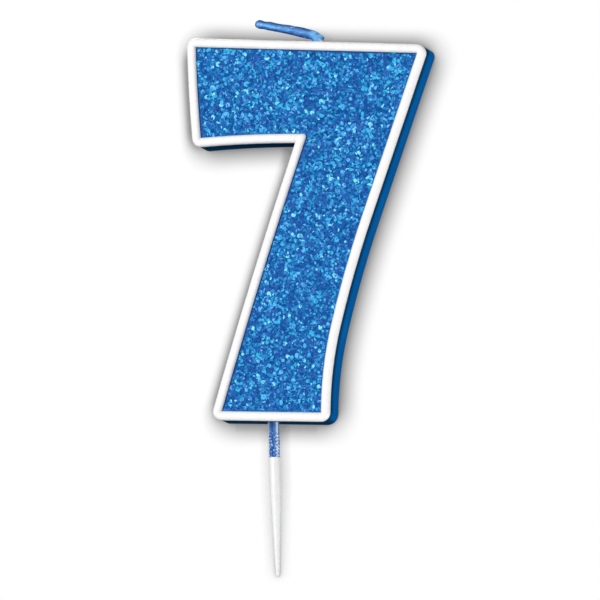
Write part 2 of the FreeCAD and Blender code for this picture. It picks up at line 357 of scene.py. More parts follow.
def wick_wax_look():
    """Blue wax over cotton, with painted light: pale along the wick's middle, dark along its upper and lower
    sides.
    """
    look = Look("waxed_wick_look", (0.07, 0.24, 0.60), 0.34, Subsurface_Weight=0.10,
                Subsurface_Scale=0.0004, Specular_IOR_Level=0.25, Coat_Weight=0.12,
                Coat_Roughness=0.20)
    facing = look.facing()
    # painted light and shade round the wick: lit pale along the middle, shaded dark along its upper and lower
    # sides
    side = look.remap(facing["Z"], -1.0, 1.0, smooth=False)
    wax = look.ramp(side, (0.0, (0.010, 0.065, 0.22)), (0.12, (0.028, 0.14, 0.41)),
                    (0.28, (0.130, 0.40, 0.84)), (0.44, (0.205, 0.52, 1.0)),
                    (0.60, (0.140, 0.42, 0.87)), (0.74, (0.046, 0.20, 0.52)),
                    (0.86, (0.016, 0.095, 0.29)), (1.0, (0.012, 0.07, 0.22)))
    place = look.separate()
    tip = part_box("wick_tail_wax")[0][0]
    # painted shade on the tip's end, where it faces left
    end = look.remap(place["X"], tip + 0.5 * MM, tip + 1.5 * MM, 1.0, 0.0)
    end = look.math("MULTIPLY", end, look.remap(facing["X"], -0.75, -0.30, 0.95, 0.0))
    wax = look.mix(end, wax, (0.010, 0.07, 0.24))
    mottle = look.remap(look.noise(1500.0, 3.0, vector=look.stretched((0.4, 1.0, 1.0))), 0.42, 0.60)
    wax = look.mix(look.math("MULTIPLY", mottle, 0.50), wax, (0.022, 0.12, 0.42))
    # sparse pale flecks, painted glints on the wax
    fleck = look.remap(look.noise(800.0, 1.0), 0.66, 0.72)
    wax = look.mix(look.math("MULTIPLY", fleck, 0.8), wax, (0.46, 0.66, 0.86))
    hinge = named(frame["joints"], "wick_bend")["pos_m"]
    root = look.math("MULTIPLY", look.remap(place["X"], hinge[0] - 2.0 * MM, hinge[0] - 1.0 * MM),
                     look.remap(place["Z"], hinge[2] + 1.0 * MM, hinge[2] + 1.8 * MM, 1.0, 0.0))
    patch = look.remap(look.noise(900.0, 2.0), 0.35, 0.60)
    wax = look.mix(look.math("MULTIPLY", root, patch), wax, (0.17, 0.52, 0.92))
    # painted highlight near the bend, where the wax faces right and up
    glint = look.math("MULTIPLY", look.remap(facing["X"], 0.30, 0.60), look.remap(facing["Z"], 0.1, 0.4))
    look.colour(look.mix(look.math("MULTIPLY", glint, root), wax, (0.62, 0.82, 1.0)))
    look.roughness(look.remap(look.noise(1800.0, 2.0), 0.3, 0.7, 0.25, 0.42))
    look.bump((look.noise(2200.0, 3.0), 0.00005))
    return look


STRANDS_ROUND = 3               # the stub's braid repeats this often round its axis
# where the braid's pattern starts round the stub; it sets one ridge's painted highlight at the stub's right
STRANDS_START = math.radians(-146)
STITCH = 0.71 * MM              # spacing of the braid's stitches along the stub
BRAID_TOP = 5.2 * MM            # above this height the wax covers the braid


def stub_look(lean):
    """A braided wick under clear wax: dark grooves and pale ridges run up it, with painted shade and highlights.
    """
    look = Look("waxed_stub_look", (0.06, 0.18, 0.50), 0.32, Specular_IOR_Level=0.15,
                Coat_Weight=0.08, Coat_Roughness=0.18)
    place = look.separate()
    across = look.math("ADD", place["X"], look.math("MULTIPLY", place["Z"], math.tan(lean)))
    angle = look.math("ARCTAN2", place["Y"], across)
    turns = look.math("SUBTRACT", angle, STRANDS_START)
    turns = look.math("MULTIPLY", turns, STRANDS_ROUND / (2 * math.pi))
    bare = look.remap(place["Z"], BRAID_TOP - 0.8 * MM, BRAID_TOP + 0.6 * MM, 1.0, 0.12)
    stitch = look.math("SINE", look.math("MULTIPLY", place["Z"], 2 * math.pi / STITCH))
    sway = look.math("MULTIPLY", look.math("MULTIPLY", stitch, bare), 0.045)
    phase = look.math("FRACT", look.math("ADD", turns, sway))
    # painted light round the braid: each ridge turns near-white as a painted highlight, each groove dark as
    # painted shade
    strands = look.ramp(phase, (0.0, (0.012, 0.080, 0.27)), (0.10, (0.20, 0.36, 0.64)),
                        (0.22, (0.090, 0.25, 0.60)), (0.30, (0.003, 0.060, 0.28)),
                        (0.46, (0.005, 0.080, 0.34)), (0.54, (0.040, 0.15, 0.44)),
                        (0.70, (0.10, 0.26, 0.60)), (0.80, (0.55, 0.71, 0.96)),
                        (0.96, (0.95, 0.99, 1.0)), (1.0, (0.012, 0.080, 0.27)))
    chips = look.cells(2000.0, vector=look.stretched((1.0, 1.0, 0.8)))
    pale = look.math("MULTIPLY", look.remap(chips, 0.24, 0.42, 1.0, 0.0), bare)
    strands = look.mix(look.math("MULTIPLY", pale, 0.75), strands, (0.42, 0.64, 0.96))
    gap = look.math("MULTIPLY", look.remap(look.noise(1900.0, 2.0), 0.55, 0.61), bare)
    look.colour(look.mix(look.math("MULTIPLY", gap, 0.90), strands, (0.005, 0.065, 0.29)))
    look.bump((chips, 0.00008), (look.noise(2500.0, 2.0), 0.00003))
    return look


def flake_look(name, colour, roughness):
    return Look(name, colour, roughness, Specular_IOR_Level=0.05)


# ---- outlines read from the CAD model --------------------------------------------------------

SAME_DEPTH = 1e-6               # points closer in depth than this lie in one plane
SAME_POINT_DECIMALS = 7         # points that agree to this many decimals are one point


def flat_face_loops(node_name, depth):
    """Closed outlines, in X and Z, of the flat faces of a node that lie at one depth."""
    mesh = nodes[node_name].data
    points = np.array([v.co for v in mesh.vertices], float)
    welded = {}
    ids = [welded.setdefault(tuple(np.round(p, SAME_POINT_DECIMALS)), len(welded)) for p in points]
    places = {number: place for place, number in welded.items()}
    flat = np.abs(points[:, 1] - depth) < SAME_DEPTH
    edges = set()
    for polygon in mesh.polygons:
        corners = list(polygon.vertices)
        if all(flat[c] for c in corners):
            edges.update((ids[a], ids[b]) for a, b in zip(corners, corners[1:] + corners[:1]))
    ahead = {a: b for a, b in edges if (b, a) not in edges}
    loops = []
    while ahead:
        loop = [next(iter(ahead))]
        while loop[-1] in ahead:
            following = ahead.pop(loop[-1])
            if following == loop[0]:
                break
            loop.append(following)
        loops.append(Loop(np.array([places[i] for i in loop])[:, [0, 2]]))
    return sorted(loops, key=lambda found: -abs(found.area))


class Loop:
    """A closed outline that runs anticlockwise as seen from the front."""

    def __init__(self, points):
        following = np.roll(points, -1, 0)
        self.area = 0.5 * np.sum(points[:, 0] * following[:, 1] - following[:, 0] * points[:, 1])
        if self.area < 0:
            points = points[::-1]
            following = np.roll(points, -1, 0)
            self.area = -self.area
        self.points = points
        self.steps = following - points
        self.lengths = np.hypot(*self.steps.T)
        self.starts = np.concatenate(([0.0], np.cumsum(self.lengths)))
        self.total = self.starts[-1]

    def at(self, distance):
        """The points at distances along the outline."""
        distance = np.mod(distance, self.total)
        index = np.clip(np.searchsorted(self.starts, distance, "right") - 1, 0, len(self.points) - 1)
        share = (distance - self.starts[index]) / self.lengths[index]
        return self.points[index] + self.steps[index] * share[:, None]

    def nearest(self, places):
        """Distance along the outline of the closest point to each place, and how far off it is."""
        offset = places[:, None, :] - self.points[None]
        share = np.clip((offset * self.steps).sum(2) / self.lengths ** 2, 0, 1)
        gap = np.linalg.norm(offset - self.steps * share[..., None], axis=2)
        best = gap.argmin(1)
        rows = np.arange(len(places))
        return self.starts[best] + share[rows, best] * self.lengths[best], gap[rows, best]

    def corners(self, least_turn):
        """Distances along the outline of its sharp corners."""
        before = np.roll(self.steps, 1, 0)
        turn = np.arctan2(before[:, 0] * self.steps[:, 1] - before[:, 1] * self.steps[:, 0],
                          (before * self.steps).sum(1))
        return self.starts[:-1][np.abs(turn) > least_turn]

    def inside(self, places):
        """Which of the places lie inside the outline."""
        x, z = places[:, 0], places[:, 1]
        result = np.zeros(len(places), bool)
        for (ax, az), (bx, bz) in zip(self.points, np.roll(self.points, -1, 0)):
            crosses = (az > z) != (bz > z)
            with np.errstate(divide="ignore", invalid="ignore"):
                result ^= crosses & (x < (bx - ax) * (z - az) / (bz - az) + ax)
        return result


# ---- border bead -----------------------------------------------------------------------------

BEAD_STEP = 0.33 * MM           # spacing of the bead's cross-sections
BEAD_ACROSS = 18                # facets across a cross-section
BEAD_FULLNESS = 2.7             # 2 is a half round; more is squarer
BEAD_SMOOTHING = 7              # cross-sections that are averaged to turn corners evenly
BEAD_CORNER = math.radians(25)  # outlines that turn by more than this keep their corner
BEAD_TALL = 0.975               # the bead's mean height, as a share of the CAD bead's
# waves per metre along the crest, their height as a share of the bead's, and where their noise is read
BEAD_WAVES = ((90.0, 0.02, 0.0), (420.0, 0.008, 3.0))


def paired_sections(outer, inner):
    """Matched distances along both outlines, one pair for each cross-section."""
    start = outer.starts[int(np.argmax(outer.lengths))] + outer.lengths.max() / 2
    along_outer = np.arange(0, outer.total, BEAD_STEP)
    from_outer = inner.nearest(outer.at(start + along_outer))[0]
    inner_start = from_outer[0]
    along_inner = np.arange(0, inner.total, BEAD_STEP)
    from_inner = outer.nearest(inner.at(inner_start + along_inner))[0]
    pairs = [(a, (b - inner_start) % inner.total) for a, b in zip(along_outer[1:], from_outer[1:])]
    pairs += [((b - start) % outer.total, a) for a, b in zip(along_inner[1:], from_inner[1:])]
    pairs.sort(key=lambda pair: pair[0] / outer.total + pair[1] / inner.total)
    pairs = np.maximum.accumulate(np.array([(0.0, 0.0)] + pairs), axis=0)
    reach = BEAD_SMOOTHING // 2
    span = np.array([outer.total, inner.total])
    wrapped = np.vstack([pairs[-reach:] - span, pairs, pairs[:reach] + span])
    window = np.ones(BEAD_SMOOTHING) / BEAD_SMOOTHING
    pairs = np.stack([np.convolve(wrapped[:, i], window, "valid") for i in (0, 1)], axis=1)
    for column, loop, begin in ((0, outer, start), (1, inner, inner_start)):
        for corner in loop.corners(BEAD_CORNER):
            place = (corner - begin) % loop.total
            pairs[np.abs(pairs[:, column] - place).argmin(), column] = place
    return outer.at(start + pairs[:, 0]), inner.at(inner_start + pairs[:, 1])


def between(a, b, share, y):
    """A point at depth y, part-way from one outline's point to the other's."""
    return a[0] + (b[0] - a[0]) * share, y, a[1] + (b[1] - a[1]) * share


def ring_faces(sections, per):
    """Faces of a closed ring that is made of closed cross-sections with this many points each."""
    faces = []
    for i in range(sections):
        j = (i + 1) % sections
        for k in range(per):
            n = (k + 1) % per
            faces.append((i * per + k, j * per + k, j * per + n, i * per + n))
    return faces


def make_bead():
    low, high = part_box("border_bead")
    base_y, height = high[1], high[1] - low[1]
    outer, inner = flat_face_loops("border_bead", base_y)[:2]
    outer_points, inner_points = paired_sections(outer, inner)
    across = (1 - np.cos(np.pi * np.arange(BEAD_ACROSS + 1) / BEAD_ACROSS)) / 2
    rise = (1 - np.abs(2 * across - 1) ** BEAD_FULLNESS) ** (1 / BEAD_FULLNESS)
    verts = []
    for a, b in zip(outer_points, inner_points):
        share = BEAD_TALL
        for waves, wave_height, depth in BEAD_WAVES:
            share += wave_height * noise.noise(Vector((a[0], depth, a[1])) * waves)
        for u, r in zip(across, rise):
            verts.append(between(a, b, u, base_y - height * share * r))
    mesh = closed_mesh("candle_border", verts, ring_faces(len(outer_points), BEAD_ACROSS + 1))
    piece = add_piece("candle_border", mesh, bead_look(), "candle")
    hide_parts("border_bead")
    return inner, outer_points, inner_points


MARGIN_WIDTH = 0.20 * MM        # how far the gel's clear edge reaches in from the bead
MARGIN_CLIMB = 0.14 * MM        # and up it
MARGIN_ROOT = 0.10 * MM         # and down into the gel
MARGIN_FRONT = 0.006 * MM       # its thin front edge stands this far over the gel
MARGIN_UNDER_BEAD = 0.97        # it starts under the bead, at this share of the bead's width


def make_gel_margin(outer_points, inner_points):
    """A fillet of gel between the glitter and the bead, which carries the bead's painted shadow."""
    bed_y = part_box("glitter_bed")[0][1]
    least_width = np.linalg.norm(inner_points - outer_points, axis=1).min()
    # places across, as shares of the bead's width, and heights over the gel
    section = (
        (MARGIN_UNDER_BEAD, -MARGIN_ROOT),
        (MARGIN_UNDER_BEAD, MARGIN_CLIMB),
        (1.00 + 0.04 * MM / least_width, 0.55 * MARGIN_CLIMB),
        (1.00 + 0.35 * MARGIN_WIDTH / least_width, 0.20 * MARGIN_CLIMB),
        (1.00 + 0.70 * MARGIN_WIDTH / least_width, 0.05 * MARGIN_CLIMB),
        (1.00 + MARGIN_WIDTH / least_width, MARGIN_FRONT),
        (1.00 + MARGIN_WIDTH / least_width, -MARGIN_ROOT),
    )
    verts = []
    for a, b in zip(outer_points, inner_points):
        for share, height in section:
            verts.append(between(a, b, share, bed_y - height))
    mesh = closed_mesh("gel_margin", verts, ring_faces(len(outer_points), len(section)))
    add_piece("gel_margin", mesh, margin_look(), "candle")


# ---- glitter ---------------------------------------------------------------------------------

FLAKE_SEED = 7
FLAKE_COUNT = 9800
FLAKE_RADII = (0.18 * MM, 0.52 * MM)
FLAKE_RADII_SPREAD = (1.0, 1.9)     # of a beta distribution, with more small flakes than large ones
FLAKE_THICKNESS = 0.02 * MM
FLAKE_TILT = math.radians(24)
FLAKE_TILT_MOST = math.radians(52)
FLAKE_STRETCH = (0.78, 1.22)
FLAKE_LIFT = 0.10 * MM
# shades gather in patches: how many in a metre, and how strongly against chance
FLAKE_PATCHES = (260.0, 0.6)
# name, slot, share of the flakes, their size, colour, roughness
FLAKE_GROUPS = (
    ("glitter_deep", "flake_blue", 0.16, 0.90, (0.0020, 0.088, 0.330), 0.45),
    ("glitter_indigo", "flake_violet", 0.13, 0.90, (0.0110, 0.082, 0.370), 0.45),
    ("glitter_blue", "flake_blue", 0.16, 0.88, (0.0050, 0.165, 0.470), 0.42),
    ("glitter_violet", "flake_violet", 0.15, 0.90, (0.0360, 0.112, 0.460), 0.42),
    ("glitter_azure", "flake_cyan", 0.14, 1.05, (0.0220, 0.280, 0.620), 0.38),
    ("glitter_sky", "flake_cyan", 0.09, 1.05, (0.0600, 0.300, 0.700), 0.38),
    ("glitter_cyan", "flake_cyan", 0.09, 1.20, (0.0480, 0.480, 0.830), 0.34),
    ("glitter_ice", "flake_cyan", 0.05, 1.20, (0.1100, 0.510, 0.950), 0.32),
    # the spark group's near-white cyan is painted sparkle, standing in for light glinting off flakes
    ("glitter_spark", "flake_cyan", 0.03, 1.20, (0.2300, 0.800, 1.000), 0.28),
)
FLAKE_REPLACED = {
    "glitter_azure": "glitter_flakes_cyan",
    "glitter_blue": "glitter_flakes_blue",
    "glitter_violet": "glitter_flakes_violet",
}
# flakes keep clear of the bead where it stands to their left or above them
FLAKE_SHADE_SIDE = np.array((-0.34, 0.34)) * MM


def flake_places(outline, rng):
    """Random places on the gel, inside its clear margin."""
    low, high = outline.points.min(0), outline.points.max(0)
    places = np.empty((0, 2))
    while len(places) < FLAKE_COUNT:
        batch = rng.uniform(low, high, (FLAKE_COUNT, 2))
        batch = batch[outline.inside(batch) & outline.inside(batch + FLAKE_SHADE_SIDE)]
        places = np.vstack([places, batch[outline.nearest(batch)[1] > MARGIN_WIDTH]])
    return places[:FLAKE_COUNT]


def add_flake(verts, faces, centre, leaning, radius, turn, stretch):
    """One closed hexagonal plate, added to lists of points and faces."""
    first = len(verts)
    for side in (-0.5, 0.5):
        for corner in range(6):
            angle = turn + corner * math.pi / 3
            spoke = Vector((math.cos(angle) * stretch, 0, math.sin(angle) / stretch))
            spoke *= radius
            spoke.y = side * FLAKE_THICKNESS
            verts.append(centre + leaning @ spoke)
    faces.append([first + k for k in range(6)])
    faces.append([first + 6 + k for k in reversed(range(6))])
    for k in range(6):
        n = (k + 1) % 6
        faces.append([first + n, first + k, first + 6 + k, first + 6 + n])


def make_glitter(outline):
    rng = np.random.default_rng(FLAKE_SEED)
    bed_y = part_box("glitter_bed")[0][1]
    places = flake_places(outline, rng)
    patches, pull = FLAKE_PATCHES
    cluster = np.array([noise.noise(Vector((x, 0.0, z)) * patches) for x, z in places])
    rank = np.argsort(np.argsort(rng.normal(0, 1, FLAKE_COUNT) + pull * cluster)) / FLAKE_COUNT
    smallest, largest = FLAKE_RADII
    radius = smallest + (largest - smallest) * rng.beta(*FLAKE_RADII_SPREAD, FLAKE_COUNT)
    turn = rng.uniform(0, math.pi / 3, FLAKE_COUNT)
    stretch = rng.uniform(*FLAKE_STRETCH, FLAKE_COUNT)
    tilt = np.minimum(np.abs(rng.normal(0, FLAKE_TILT, FLAKE_COUNT)), FLAKE_TILT_MOST)
    heading = rng.uniform(0, 2 * math.pi, FLAKE_COUNT)
    lift = rng.uniform(0, FLAKE_LIFT, FLAKE_COUNT)
    begin = 0.0
    for name, slot, share, size, colour, roughness in FLAKE_GROUPS:
        members = np.flatnonzero((rank >= begin) & (rank < begin + share))
        begin += share
        verts, faces = [], []
        for i in members:
            axis = Vector((math.cos(heading[i]), 0, math.sin(heading[i])))
            leaning = Matrix.Rotation(tilt[i], 3, axis)
            centre = Vector((places[i, 0], bed_y - lift[i], places[i, 1]))
            add_flake(verts, faces, centre, leaning, radius[i] * size, turn[i], stretch[i])
        mesh = bpy.data.meshes.new(name)
        mesh.from_pydata(verts, [], faces)
        mesh.update()
        look = flake_look(name + "_look", colour, roughness)
        piece = add_piece(name, mesh, look, "candle")
        if name in FLAKE_REPLACED:
            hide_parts(FLAKE_REPLACED[name])


# ---- wick ------------------------------------------------------------------------------------

WICK_VOXEL = 0.07 * MM
ROD_SIDES = 40


def add_rod(work, start, end, radius_start, radius_end):
    """A closed round rod between two points, added to a bmesh."""
    axis = end - start
    turn = Vector((0, 0, 1)).rotation_difference(axis).to_matrix().to_4x4()
    place = Matrix.Translation((start + end) / 2) @ turn
    bmesh.ops.create_cone(work, cap_ends=True, segments=ROD_SIDES, radius1=radius_start,
                          radius2=radius_end, depth=axis.length, matrix=place)


def add_ball(work, centre, radius, stretch=(1, 1, 1)):
    """A closed ball, stretched along the axes, added to a bmesh."""
    place = Matrix.Translation(centre) @ Matrix.Diagonal((*stretch, 1))
    bmesh.ops.create_icosphere(work, subdivisions=4, radius=radius, matrix=place)


def voxel_union(name, work, voxel):
    """One closed mesh round everything in the bmesh."""
    mesh = bpy.data.meshes.new(name + "_parts")
    work.to_mesh(mesh)
    work.free()
    holder = bpy.data.objects.new(name + "_parts", mesh)
    bpy.context.scene.collection.objects.link(holder)
    remesh = holder.modifiers.new("union", "REMESH")
    remesh.mode = "VOXEL"
    remesh.voxel_size = voxel
    smooth = holder.modifiers.new("smooth", "SMOOTH")
    smooth.factor = 0.5
    smooth.iterations = 4
    result = bpy.data.meshes.new_from_object(
        holder.evaluated_get(bpy.context.evaluated_depsgraph_get()))
    result.name = name
    bpy.data.objects.remove(holder)
    bpy.data.meshes.remove(mesh)
    return result


def push_points(mesh, amount):
    """Moves each point along its normal by amount(point)."""
    normals = [v.normal.copy() for v in mesh.vertices]
    for vertex, normal in zip(mesh.vertices, normals):
        vertex.co += normal * amount(vertex.co.copy())
    mesh.update()


TAIL_ARCH = 0.27 * MM                           # the tail rises this far above a straight line,
TAIL_ARCH_SKEW = 0.55                           # and most of all nearer the bend than the tip
TAIL_TIP_INSET = 0.18 * MM                      # the tail's line ends this far short of the CAD tail
TAIL_TIP_DROP = 0.98                            # and this share of its radius below that tail's top
# share of the way from the bend to the tip, and the radius there
TAIL_PROFILE = (
    (0.00, 1.00 * MM), (0.10, 1.05 * MM), (0.22, 1.07 * MM), (0.36, 1.04 * MM), (0.50, 0.97 * MM),
    (0.66, 0.90 * MM), (0.80, 0.95 * MM), (0.875, 0.85 * MM), (0.925, 0.93 * MM), (0.955, 0.95 * MM),
)
TAIL_LUMPS = ((620.0, 0.055 * MM), (2100.0, 0.030 * MM))     # how many in a metre, and how high
TAIL_STRANDS = 3                                # of the cotton, which show faintly through the wax
TAIL_TWIST = 2.0 / MM                           # how fast they wind along the tail
TAIL_STRAND_HEIGHT = 0.020 * MM
TAIL_CRISP_ANGLE = math.radians(70)
FOLD_RADIUS = Vector((1.55, 1.02, 1.30)) * MM   # half sizes of the pinched fold at the bend
FOLD_SLOPE = math.radians(-34)                  # of the flat that the fold leaves on top
FOLD_COVER = 0.82 * MM                          # from the bend's centre to that flat
FOLD_REACH = 0.2                                # share of the tail that the flat may touch
FOOT_RADIUS = 1.95 * MM                         # where the wick leaves the wax
FOOT_SHIFT = 0.1 * MM                           # its centre lies this far left of the bend's
FOOT_DEPTH = 0.6 * MM                           # and this far below the CAD's collar


def make_wick_tail():
    hinge = Vector(named(frame["joints"], "wick_bend")["pos_m"])
    low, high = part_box("wick_tail_wax")
    root_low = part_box("wick_root_wax")[0]
    radius = (high[1] - low[1]) / 2
    tip = Vector((low[0] + TAIL_TIP_INSET, 0.0, high[2] - TAIL_TIP_DROP * radius))
    direction = (tip - hinge).normalized()
    length = (tip - hinge).length
    raised = Vector((0, 1, 0)).cross(direction)

    def centre(share):
        rise = TAIL_ARCH * math.sin(math.pi * share ** TAIL_ARCH_SKEW)
        return hinge + direction * (length * share) + raised * rise

    work = bmesh.new()
    foot = Vector((hinge.x - FOOT_SHIFT, 0, root_low[2] - FOOT_DEPTH))
    add_rod(work, foot, hinge, FOOT_RADIUS, radius)
    add_ball(work, hinge, 1.0, FOLD_RADIUS)
    for (near, r_near), (far, r_far) in zip(TAIL_PROFILE, TAIL_PROFILE[1:]):
        add_rod(work, centre(near), centre(far), r_near, r_far)
        add_ball(work, centre(far), r_far)
    mesh = voxel_union("wick_tail_skin", work, WICK_VOXEL)

    # the flat on top of the fold
    normal = Vector((-math.sin(FOLD_SLOPE), 0, math.cos(FOLD_SLOPE)))
    for vertex in mesh.vertices:
        above = (vertex.co - hinge).dot(normal) - FOLD_COVER
        if above > 0 and (vertex.co - hinge).dot(direction) < FOLD_REACH * length:
            vertex.co -= normal * above

    def lumps(point):
        along = (point - hinge).dot(direction)
        around = math.atan2(point.y, point.z - hinge.z - along * direction.z)
        height = math.sin(TAIL_STRANDS * around + along * TAIL_TWIST) * TAIL_STRAND_HEIGHT
        for lumps_per_metre, lump_height in TAIL_LUMPS:
            height += noise.noise(point * lumps_per_metre) * lump_height
        return height

    push_points(mesh, lumps)
    smooth_above(mesh, TAIL_CRISP_ANGLE)
    piece = add_piece("wick_tail_skin", mesh, wick_wax_look(), None)
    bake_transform(piece)
    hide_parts("wick_root_wax", "wick_tail_wax")


STUB_ROUND = 96                 # points round the stub
STUB_ALONG = 170                # and rows of faces along it
STUB_INTO_NUMERAL = 0.3 * MM    # the skin runs this far on into the numeral
STUB_WIDTH = 0.91               # its radius at the pick, as a share of the CAD stub's
STUB_WIDENING = 0.02            # added to that share by its top
STUB_END_WIDTH = 0.95           # its first and last rows are drawn in to this share
GROOVE_DEPTH = 0.05 * MM
GROOVES_PER_STRAND = 2
STITCH_HEIGHT = 0.03 * MM
STUB_LUMP_HEIGHT = 0.03 * MM
# the lumps' noise is read on a cylinder of radius 1: its scale, and how long 1 mm of stub is on it
STUB_LUMP_SCALE = (1.6, 0.8)
# the raised braid ends this far above BRAID_TOP, and fades out over this length
BRAID_FADE = (0.2 * MM, 1.2 * MM)


def make_stub():
    up = -Vector(named(frame["record"]["mounts"], "pick_shank")["axis"]).normalized()
    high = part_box("wick_stub_wax")[1]
    radius = high[1]
    length = high[2] / up.z + STUB_INTO_NUMERAL
    side = Vector((0, 1, 0)).cross(up).normalized()
    front = Vector((0, -1, 0))
    lean = math.atan2(-up.x, up.z)
    fade_past, fade_length = BRAID_FADE
    lump_scale, lump_pitch = STUB_LUMP_SCALE
    verts, faces = [], []
    for row in range(STUB_ALONG + 1):
        share = row / STUB_ALONG
        s = length * share
        bare = min(1.0, max(0.0, (BRAID_TOP + fade_past - s) / fade_length))
        for column in range(STUB_ROUND):
            angle = 2 * math.pi * column / STUB_ROUND
            turns = (-angle - STRANDS_START) * STRANDS_ROUND / (2 * math.pi)
            groove = 0.5 + 0.5 * math.cos(2 * math.pi * GROOVES_PER_STRAND * turns)
            stitch = math.sin(2 * math.pi * (s / STITCH + 0.5 * turns))
            lump_place = Vector((math.cos(angle), math.sin(angle), s / MM * lump_pitch))
            lump = noise.noise(lump_place * lump_scale)
            r = radius * (STUB_WIDTH + STUB_WIDENING * share) - groove * GROOVE_DEPTH
            r += bare * stitch * STITCH_HEIGHT + lump * STUB_LUMP_HEIGHT
            if row in (0, STUB_ALONG):
                r *= STUB_END_WIDTH
            verts.append(up * s + (side * math.cos(angle) + front * math.sin(angle)) * r)
    for row in range(STUB_ALONG):
        for column in range(STUB_ROUND):
            n = (column + 1) % STUB_ROUND
            a, b = row * STUB_ROUND, (row + 1) * STUB_ROUND
            faces.append((a + column, a + n, b + n, b + column))
    bottom, top = len(verts), len(verts) + 1
    verts += [up * 0.0, up * length]
    last = STUB_ALONG * STUB_ROUND
    for column in range(STUB_ROUND):
        n = (column + 1) % STUB_ROUND
        faces.append((n, column, bottom))
        faces.append((last + column, last + n, top))
    mesh = closed_mesh("wick_stub_skin", verts, faces)
    piece = add_piece("wick_stub_skin", mesh, stub_look(lean), "candle")
    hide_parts("wick_stub_wax")


# ---- stage, light and camera -----------------------------------------------------------------

SKY_SEEN = 1.0                  # white behind the object
SKY_LIGHT = (0.67, 0.36)        # light from the surroundings, from the front and from behind
SKY_LIGHT_TURN = (-0.6, 0.7)    # directions, in Y, between which it goes from one to the other
SKY_GLOSS = (0.85, 0.01)        # what glossy surfaces mirror, in front and behind
SKY_GLOSS_TURN = (-0.3, 0.5)
HALO_SAMPLES = 32
# The object's soft contact shade. Each is the direction in which it looks for the object, its reach,
# and the shade by openness.
HALO_ROUND = ((0.0, -1.0, 0.0), 5.4 * MM, (
    (0.50, 0.24), (0.524, 0.32), (0.559, 0.39), (0.617, 0.48), (0.674, 0.565), (0.73, 0.65),
    (0.78, 0.72), (0.832, 0.79), (0.88, 0.86), (0.922, 0.92), (0.959, 0.955), (1.0, 1.0)))
HALO_LEFT = ((1.0, 0.0, 0.0), 4.8 * MM, (
    (0.50, 0.16), (0.615, 0.28), (0.658, 0.43), (0.722, 0.58), (0.78, 0.79), (0.847, 0.90),
    (0.94, 0.97), (1.0, 1.0)))
HALO_ABOVE = ((0.0, 0.0, -1.0), 4.5 * MM, (
    (0.50, 0.35), (0.505, 0.47), (0.518, 0.55), (0.542, 0.67), (0.572, 0.765), (0.60, 0.81),
    (0.69, 0.88), (0.75, 0.92), (0.90, 0.98), (1.0, 1.0)))
HALO_LEFT_EASED = (0.35, 0.75)  # the left shade gives way where the shade all round is this deep
HALO_PICK = ((0.0, -1.0, 0.0), 2.6 * MM, (
    (0.50, 0.70), (0.62, 0.77), (0.72, 0.83), (0.81, 0.87), (0.89, 0.92), (0.955, 0.965), (1.0, 1.0)))
HALO_TIP_GAIN = 0.8             # the pick's shade deepens by up to this share towards its point


def make_world():
    world = bpy.data.worlds.new("studio")
    bpy.context.scene.world = world
    world.use_nodes = True
    sky = Nodes(world.node_tree, "Generated")
    towards_back = sky.separate()["Y"]
    ray = sky.node("ShaderNodeLightPath").outputs
    lit = sky.remap(towards_back, *SKY_LIGHT_TURN, *SKY_LIGHT)
    mirrored = sky.remap(towards_back, *SKY_GLOSS_TURN, *SKY_GLOSS)
    lit = sky.choose(ray["Is Glossy Ray"], lit, mirrored)
    background = sky.tree.nodes["Background"]
    background.inputs["Color"].default_value = (1, 1, 1, 1)
    sky.link(sky.choose(ray["Is Camera Ray"], lit, SKY_SEEN), background.inputs["Strength"])


def stage_plane(name, corners, look):
    mesh = bpy.data.meshes.new(name)
    mesh.from_pydata(corners, [], [(0, 1, 2, 3)])
    mesh.materials.append(look.material)
    plane = bpy.data.objects.new(name, mesh)
    bpy.context.scene.collection.objects.link(plane)
    plane.visible_diffuse = False
    plane.visible_glossy = False
    plane.visible_transmission = False
    plane.visible_shadow = False
    plane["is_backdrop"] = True


class StageLook(Nodes):
    """A material that is clear from behind. Front is the socket for the shader seen from the front."""

    def __init__(self, name):
        self.material = bpy.data.materials.new(name)
        self.material.use_nodes = True
        super().__init__(self.material.node_tree)
        self.tree.nodes.remove(self.tree.nodes["Principled BSDF"])
        geometry = self.node("ShaderNodeNewGeometry")
        clear = self.node("ShaderNodeBsdfTransparent")
        sides = self.node("ShaderNodeMixShader")
        self.link(geometry.outputs["Backfacing"], sides.inputs["Fac"])
        self.link(clear.outputs["BSDF"], sides.inputs[2])
        self.link(sides.outputs["Shader"], self.tree.nodes["Material Output"].inputs["Surface"])
        self.front = sides.inputs[1]

    def tint(self, colour):
        """Light passes straight through the front, tinted by colour."""
        clear = self.node("ShaderNodeBsdfTransparent")
        self.link(colour, clear.inputs["Color"])
        self.link(clear.outputs["BSDF"], self.front)

    def halo(self, direction, reach, stops):
        """The object's shade, from how much of it lies within reach in one direction."""
        look_along = self.node("ShaderNodeCombineXYZ")
        for target, value in zip(look_along.inputs, direction):
            self.feed(target, value)
        near = self.node("ShaderNodeAmbientOcclusion", samples=HALO_SAMPLES)
        near.inputs["Distance"].default_value = reach
        self.link(look_along.outputs["Vector"], near.inputs["Normal"])
        return self.ramp(near.outputs["AO"], *((position, (shade,) * 3) for position, shade in stops))

    def weakened(self, shade, weight):
        """The shade where weight is 1, fading to none where it is 0."""
        depth = self.math("MULTIPLY", self.math("SUBTRACT", 1.0, shade), weight)
        return self.math("SUBTRACT", 1.0, depth)


